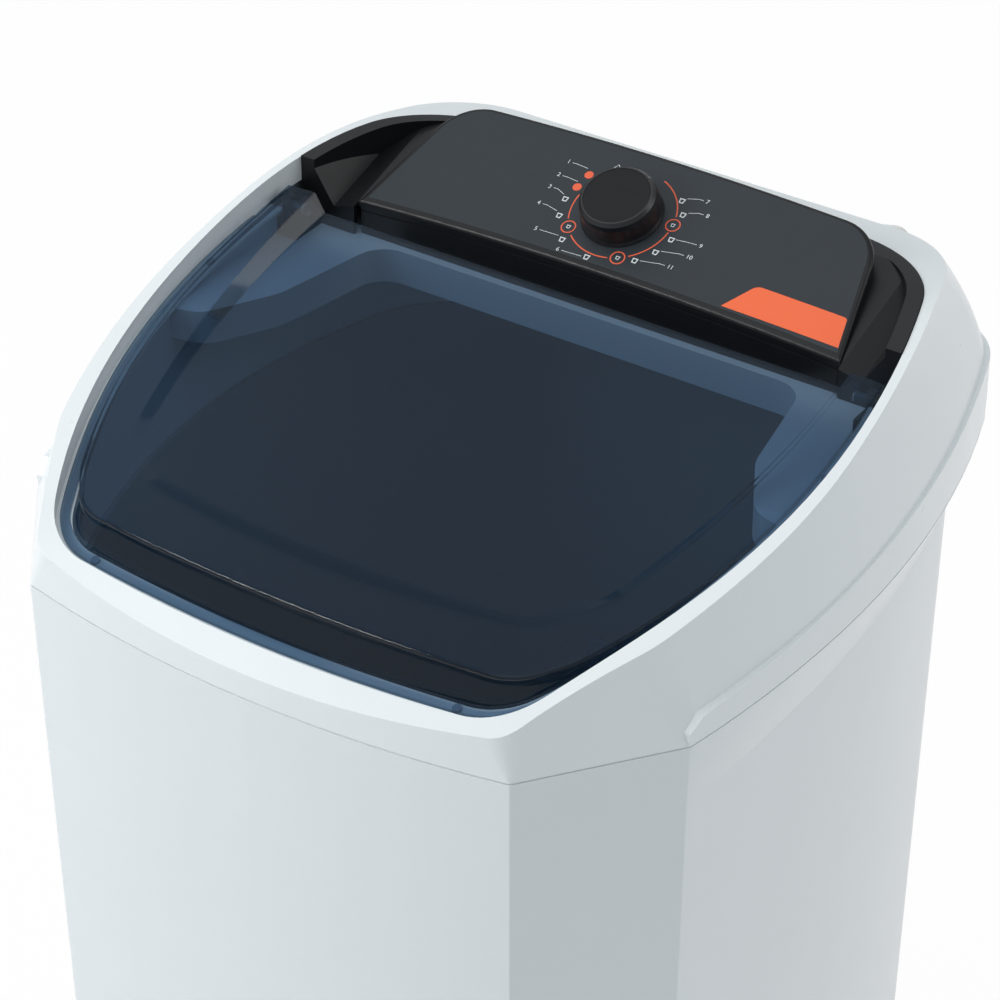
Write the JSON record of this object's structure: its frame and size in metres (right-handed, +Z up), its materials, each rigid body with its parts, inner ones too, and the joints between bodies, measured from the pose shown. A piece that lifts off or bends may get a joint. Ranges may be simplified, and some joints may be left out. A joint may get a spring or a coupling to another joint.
{
  "type": "semi-automatic washing machine",
  "caption": "Free-standing top-loading washing machine with a tinted hinged lid, a sloping control panel with a timer knob, and an agitator driven by belt inside a plastic tub.",
  "frame": {"origin": "middle of the footprint, on the floor under the feet", "axes": "+Z up, +X to the machine's right as seen from its front, front faces -Y"},
  "size_m": [0.59, 0.62, 0.9569],
  "materials": {
    "cabinet_white": "glossy moulded",
    "cover_white": "glossy moulded",
    "collar_grey": "satin moulded",
    "tub_plastic": "satin moulded",
    "console_black": "glossy moulded",
    "fascia_grey": "matt printed",
    "badge_orange": "satin",
    "knob_black": "satin",
    "cap_black": "matt",
    "lid_smoke": "polished, tinted and see-through",
    "inner_plastic": "moulded",
    "dark_plastic": "moulded",
    "pale_plastic": "moulded",
    "blue_plastic": "moulded",
    "black_rubber": "matt",
    "steel": "turned",
    "zinc_steel": "zinc plated",
    "cast_alloy": "as cast",
    "iron_core": "varnished stack"
  },
  "bodies": {
    "machine": {"cabinet": "cabinet_white", "rear_access_panel": "cabinet_white", "cabinet_screws": "zinc_steel", "base_frame": "dark_plastic", "foot_front_left": "black_rubber", "foot_front_right": "black_rubber", "foot_rear_left": "black_rubber", "foot_rear_right": "black_rubber", "top_cover": "cover_white", "tub_collar": "collar_grey", "tub_screws": "zinc_steel", "wash_tub": "tub_plastic", "drain_strainer": "pale_plastic", "console_housing": "console_black", "console_screws": "zinc_steel", "fascia_plate": "fascia_grey", "badge_plate": "badge_orange", "timer_body": "pale_plastic", "timer_screws": "zinc_steel", "lid_hinge_pins": "steel", "lid_bumpers": "black_rubber", "shaft_seal": "black_rubber", "shaft_bearings": "steel", "bearing_housing": "cast_alloy", "bearing_housing_screws": "zinc_steel", "drive_belt": "black_rubber", "motor_stator": "iron_core", "motor_end_caps": "cast_alloy", "motor_bracket": "zinc_steel", "bracket_bushes": "black_rubber", "motor_screws": "zinc_steel", "capacitor": "inner_plastic", "capacitor_clip": "dark_plastic", "drain_pipe": "black_rubber", "drain_spigot": "inner_plastic", "hose_clamps": "zinc_steel", "water_inlet": "pale_plastic", "inlet_nut": "pale_plastic", "inlet_pipe": "inner_plastic", "cord_gland": "dark_plastic", "terminal_block": "pale_plastic", "wiring_loom": "dark_plastic", "loom_clips": "pale_plastic", "filter_holder": "tub_plastic"},
    "lid": {"lid": "lid_smoke"},
    "knob": {"timer_knob": "knob_black", "knob_cap": "cap_black", "timer_shaft": "steel"},
    "agitator_drive": {"agitator": "blue_plastic", "agitator_cap": "blue_plastic", "agitator_screw": "zinc_steel", "drive_shaft": "steel", "driven_pulley": "cast_alloy", "pulley_nut": "zinc_steel"},
    "motor_drive": {"motor_shaft": "steel", "motor_rotor": "iron_core", "motor_pulley": "cast_alloy"},
    "lint_filter": {"filter_frame": "blue_plastic", "filter_mesh": "pale_plastic"}
  },
  "joints": [
    {"name": "lid_hinge", "type": "hinge", "parent": "machine", "child": "lid", "pos_m": [0, 0.088, 0.894], "axis": [-1, 0, 0], "range_deg": [0, 104]},
    {"name": "timer_turn", "type": "hinge", "parent": "machine", "child": "knob", "pos_m": [-0.004, 0.16622, 0.92613], "axis": [0, -0.4067, 0.9135], "continuous": true},
    {"name": "agitator_spin", "type": "hinge", "parent": "machine", "child": "agitator_drive", "pos_m": [0, -0.025, 0.343], "axis": [0, 0, 1], "continuous": true},
    {"name": "motor_spin", "type": "hinge", "parent": "machine", "child": "motor_drive", "pos_m": [0, 0.175, 0.163], "axis": [0, 0, 1], "continuous": true},
    {"name": "filter_lift", "type": "slide", "parent": "machine", "child": "lint_filter", "axis": [0, 0.0951, 0.9955], "range_m": [0, 0.1]}
  ],
  "couplings": [
    {"joint": "motor_spin", "follows": "agitator_spin", "ratio": 5}
  ]
}
